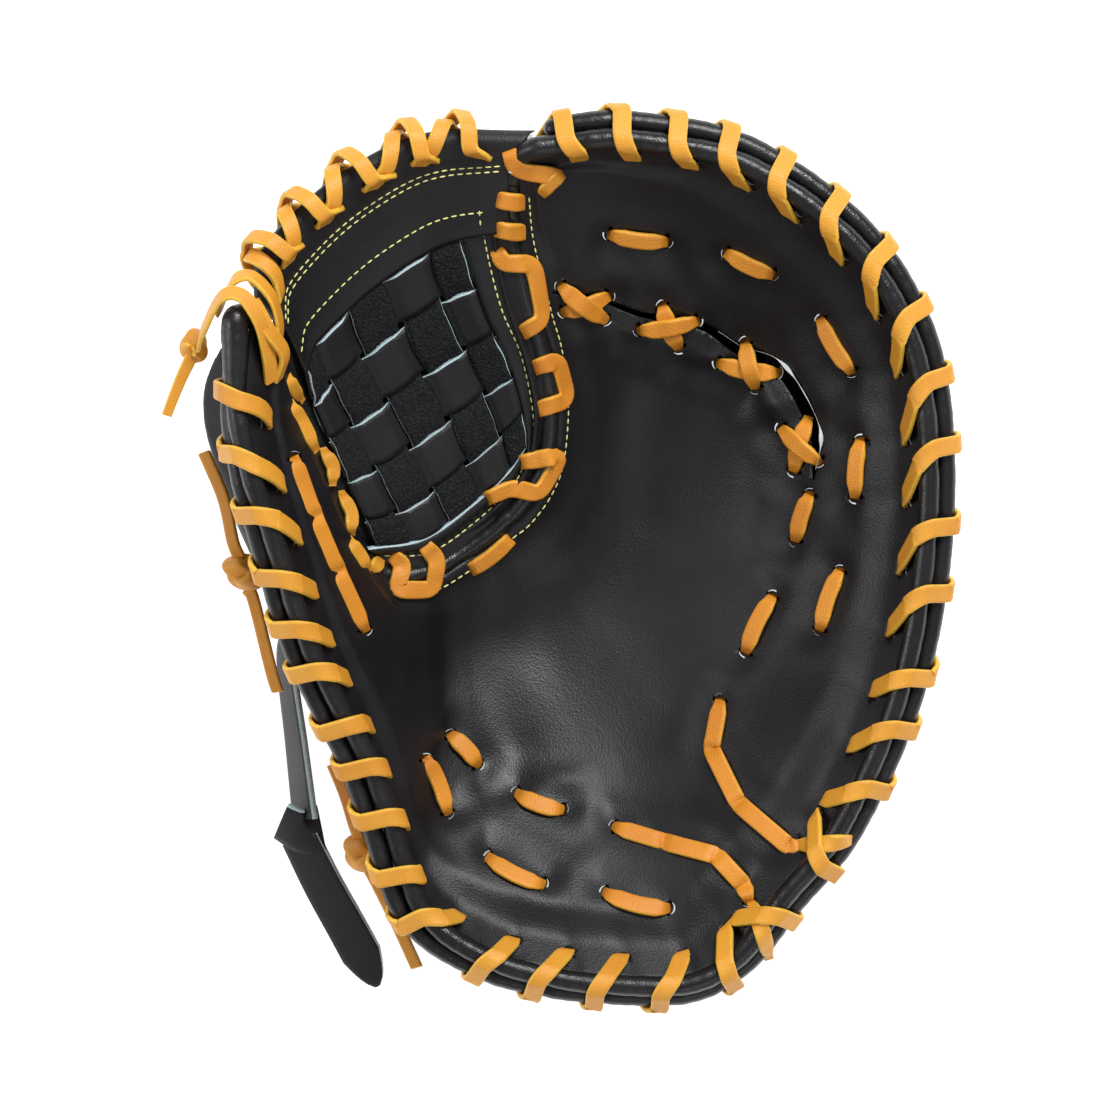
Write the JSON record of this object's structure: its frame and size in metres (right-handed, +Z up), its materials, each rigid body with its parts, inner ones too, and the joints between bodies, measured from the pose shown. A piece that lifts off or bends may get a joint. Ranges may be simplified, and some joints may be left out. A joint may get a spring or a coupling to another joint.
{
  "type": "first baseman mitt",
  "caption": "Leather first baseman mitt for the left hand: padded palm and back shells between laced rims, with a woven web between thumb and fingers.",
  "frame": {"origin": "centre of the mitt's footprint on the surface it lies on, free lace ends left out", "axes": "+X from the thumb side to the finger side, +Y from the heel to the top of the fingers, +Z up out of the pocket"},
  "size_m": [0.283, 0.3294, 0.1201],
  "materials": {
    "leather": "soft satin, finely grained, near black",
    "suede": "matt napped underside of the leather",
    "lace": "tan rawhide lace, smooth face, paler cut edges"
  },
  "bodies": {
    "root": {"back_edge_roll": "leather", "back_shell": "leather", "cross_lace_1": "lace", "cross_lace_2": "lace", "cross_lace_3": "lace", "cross_lace_4": "lace", "lace_end_1": "lace", "lace_end_2": "lace", "lace_end_3": "lace", "lace_end_4": "lace", "lace_knot_heel": "lace", "lace_knot_thumb": "lace", "lace_knot_tip": "lace", "notch_lace_1": "lace", "notch_lace_2": "lace", "notch_lace_3": "lace", "notch_lace_4": "lace", "notch_lace_5": "lace", "notch_lace_6": "lace", "notch_lace_7": "lace", "notch_lace_8": "lace", "notch_roll": "leather", "palm_edge_roll": "leather", "palm_lace_1": "lace", "palm_lace_10": "lace", "palm_lace_11": "lace", "palm_lace_12": "lace", "palm_lace_13": "lace", "palm_lace_14": "lace", "palm_lace_15": "lace", "palm_lace_2": "lace", "palm_lace_3": "lace", "palm_lace_4": "lace", "palm_lace_5": "lace", "palm_lace_6": "lace", "palm_lace_7": "lace", "palm_lace_8": "lace", "palm_lace_9": "lace", "palm_shell": "leather", "rim_lace_fingers": "lace", "rim_lace_heel": "lace", "rim_lace_thumb": "lace", "strap_band": "leather", "strap_keeper": "leather", "strap_tail": "leather", "web_base_panel": "leather", "web_frame_panel": "leather", "web_strip_across_1": "leather", "web_strip_across_2": "leather", "web_strip_across_3": "leather", "web_strip_across_4": "leather", "web_strip_across_5": "leather", "web_strip_down_1": "suede", "web_strip_down_2": "suede", "web_strip_down_3": "suede", "web_strip_down_4": "suede", "web_strip_down_5": "suede", "web_top_band": "leather", "web_top_lace": "lace"}
  },
  "joints": []
}
